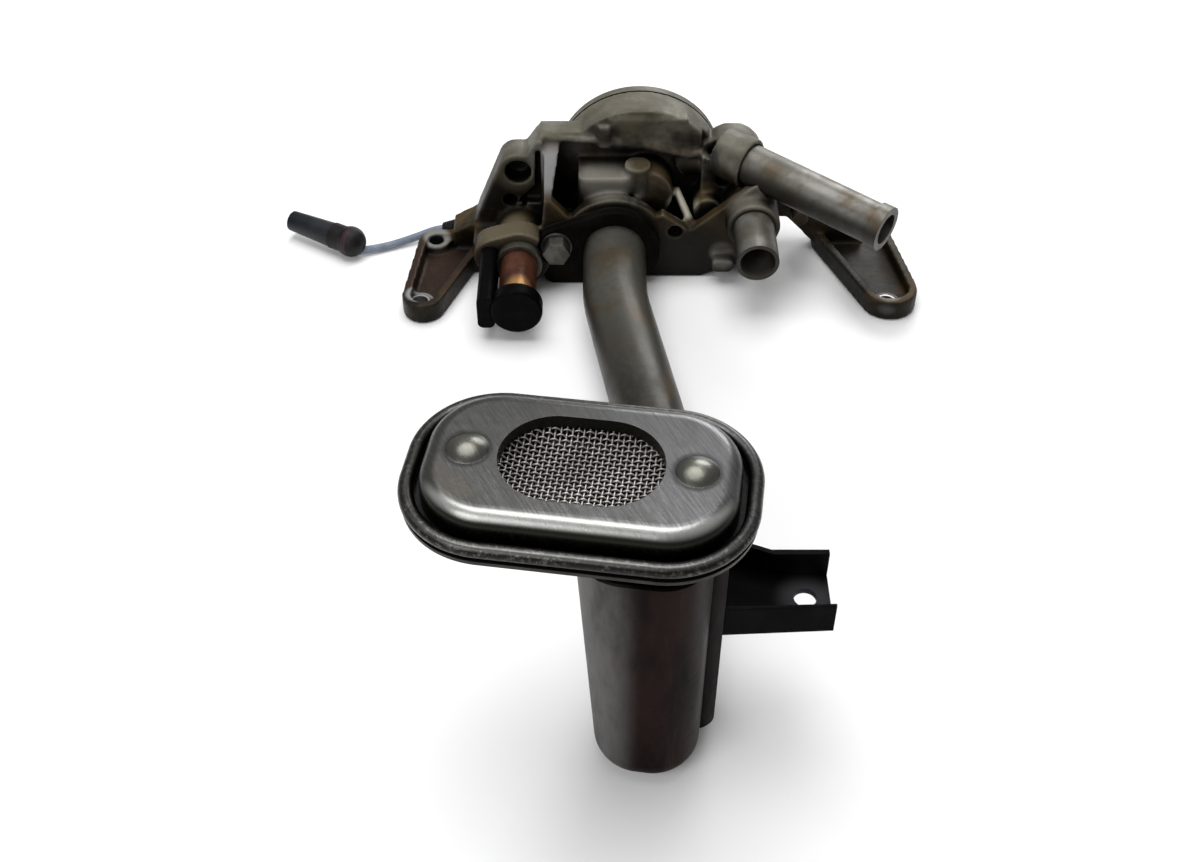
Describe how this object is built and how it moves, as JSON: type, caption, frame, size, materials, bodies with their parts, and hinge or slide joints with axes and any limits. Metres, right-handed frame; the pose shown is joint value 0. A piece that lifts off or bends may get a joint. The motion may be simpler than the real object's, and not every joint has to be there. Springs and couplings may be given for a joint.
{
  "type": "engine oil pump",
  "caption": "Cast oil pump with mounting feet, long suction pipe and oval mesh strainer, outlet pipe, return stub and solenoid valve.",
  "frame": {"origin": "midway between the two foot holes, in the plane of the feet that bolts to the engine", "axes": "+Z away from the engine towards the sump, +X towards the outlet pipe, -Y towards the strainer; the drive shaft is parallel to Y"},
  "size_m": [0.2682, 0.3149, 0.1142],
  "materials": {
    "cast_alloy": "as-cast, oily",
    "rotor_steel": "ground",
    "shaft_steel": "ground",
    "bush_bronze": "machined",
    "bolt_steel": "oily zinc",
    "pipe_steel": "satin, oily",
    "flange_steel": "dark, oily",
    "gasket_fibre": "compressed fibre",
    "pan_steel": "brushed",
    "base_steel": "satin, stained",
    "screen_steel": "woven wire",
    "riser_steel": "satin, stained brown",
    "bracket_steel": "near black",
    "can_copper": "copper brown",
    "collar_steel": "satin",
    "cap_plastic": "black, moulded",
    "plug_shell": "dark grey, moulded",
    "coil_copper": "wound wire",
    "spring_steel": "wire",
    "lead_sleeve": "blue-grey sleeve",
    "boot_rubber": "black rubber",
    "sleeve_steel": "turned"
  },
  "bodies": {
    "pump_body": {"pump_housing": "cast_alloy", "pump_cover": "cast_alloy", "cover_bolts": "bolt_steel", "front_bush": "bush_bronze", "rear_bush": "bush_bronze", "pipe_flange": "flange_steel", "flange_gasket": "gasket_fibre", "flange_bolt": "bolt_steel", "pickup_pipe": "pipe_steel", "strainer_pan": "pan_steel", "strainer_base": "base_steel", "strainer_screen": "screen_steel", "riser_front_shell": "riser_steel", "riser_rear_shell": "riser_steel", "support_bracket": "bracket_steel", "outlet_pipe": "pipe_steel", "return_stub": "pipe_steel", "solenoid_can": "can_copper", "valve_collar": "collar_steel", "solenoid_coil": "coil_copper", "solenoid_cap": "cap_plastic", "solenoid_connector": "cap_plastic", "control_spring": "spring_steel", "lead": "lead_sleeve", "lead_grommet": "boot_rubber", "lead_boot": "boot_rubber", "lead_plug": "plug_shell", "foot_sleeves": "sleeve_steel"},
    "drive": {"drive_shaft": "shaft_steel", "inner_rotor": "rotor_steel", "drive_sprocket": "rotor_steel", "sprocket_bolt": "bolt_steel"},
    "outer_rotor": {"outer_rotor": "rotor_steel"},
    "piston": {"control_piston": "shaft_steel"},
    "plunger": {"solenoid_plunger": "shaft_steel"}
  },
  "joints": [
    {"name": "drive_spin", "type": "hinge", "parent": "pump_body", "child": "drive", "pos_m": [-0.0033, 0.0535, 0.035], "axis": [0, 1, 0], "continuous": true},
    {"name": "outer_rotor_spin", "type": "hinge", "parent": "pump_body", "child": "outer_rotor", "pos_m": [-0.0055, 0.0535, 0.035], "axis": [0, 1, 0], "continuous": true},
    {"name": "piston_slide", "type": "slide", "parent": "pump_body", "child": "piston", "axis": [0, 1, 0], "range_m": [0, 0.008], "stiffness_N_per_m": 1500, "springref_m": -0.004, "deforming": ["control_spring"]},
    {"name": "plunger_slide", "type": "slide", "parent": "pump_body", "child": "plunger", "axis": [0, 1, 0], "range_m": [0, 0.0025]}
  ],
  "couplings": [
    {"joint": "outer_rotor_spin", "follows": "drive_spin", "ratio": 0.85714}
  ]
}
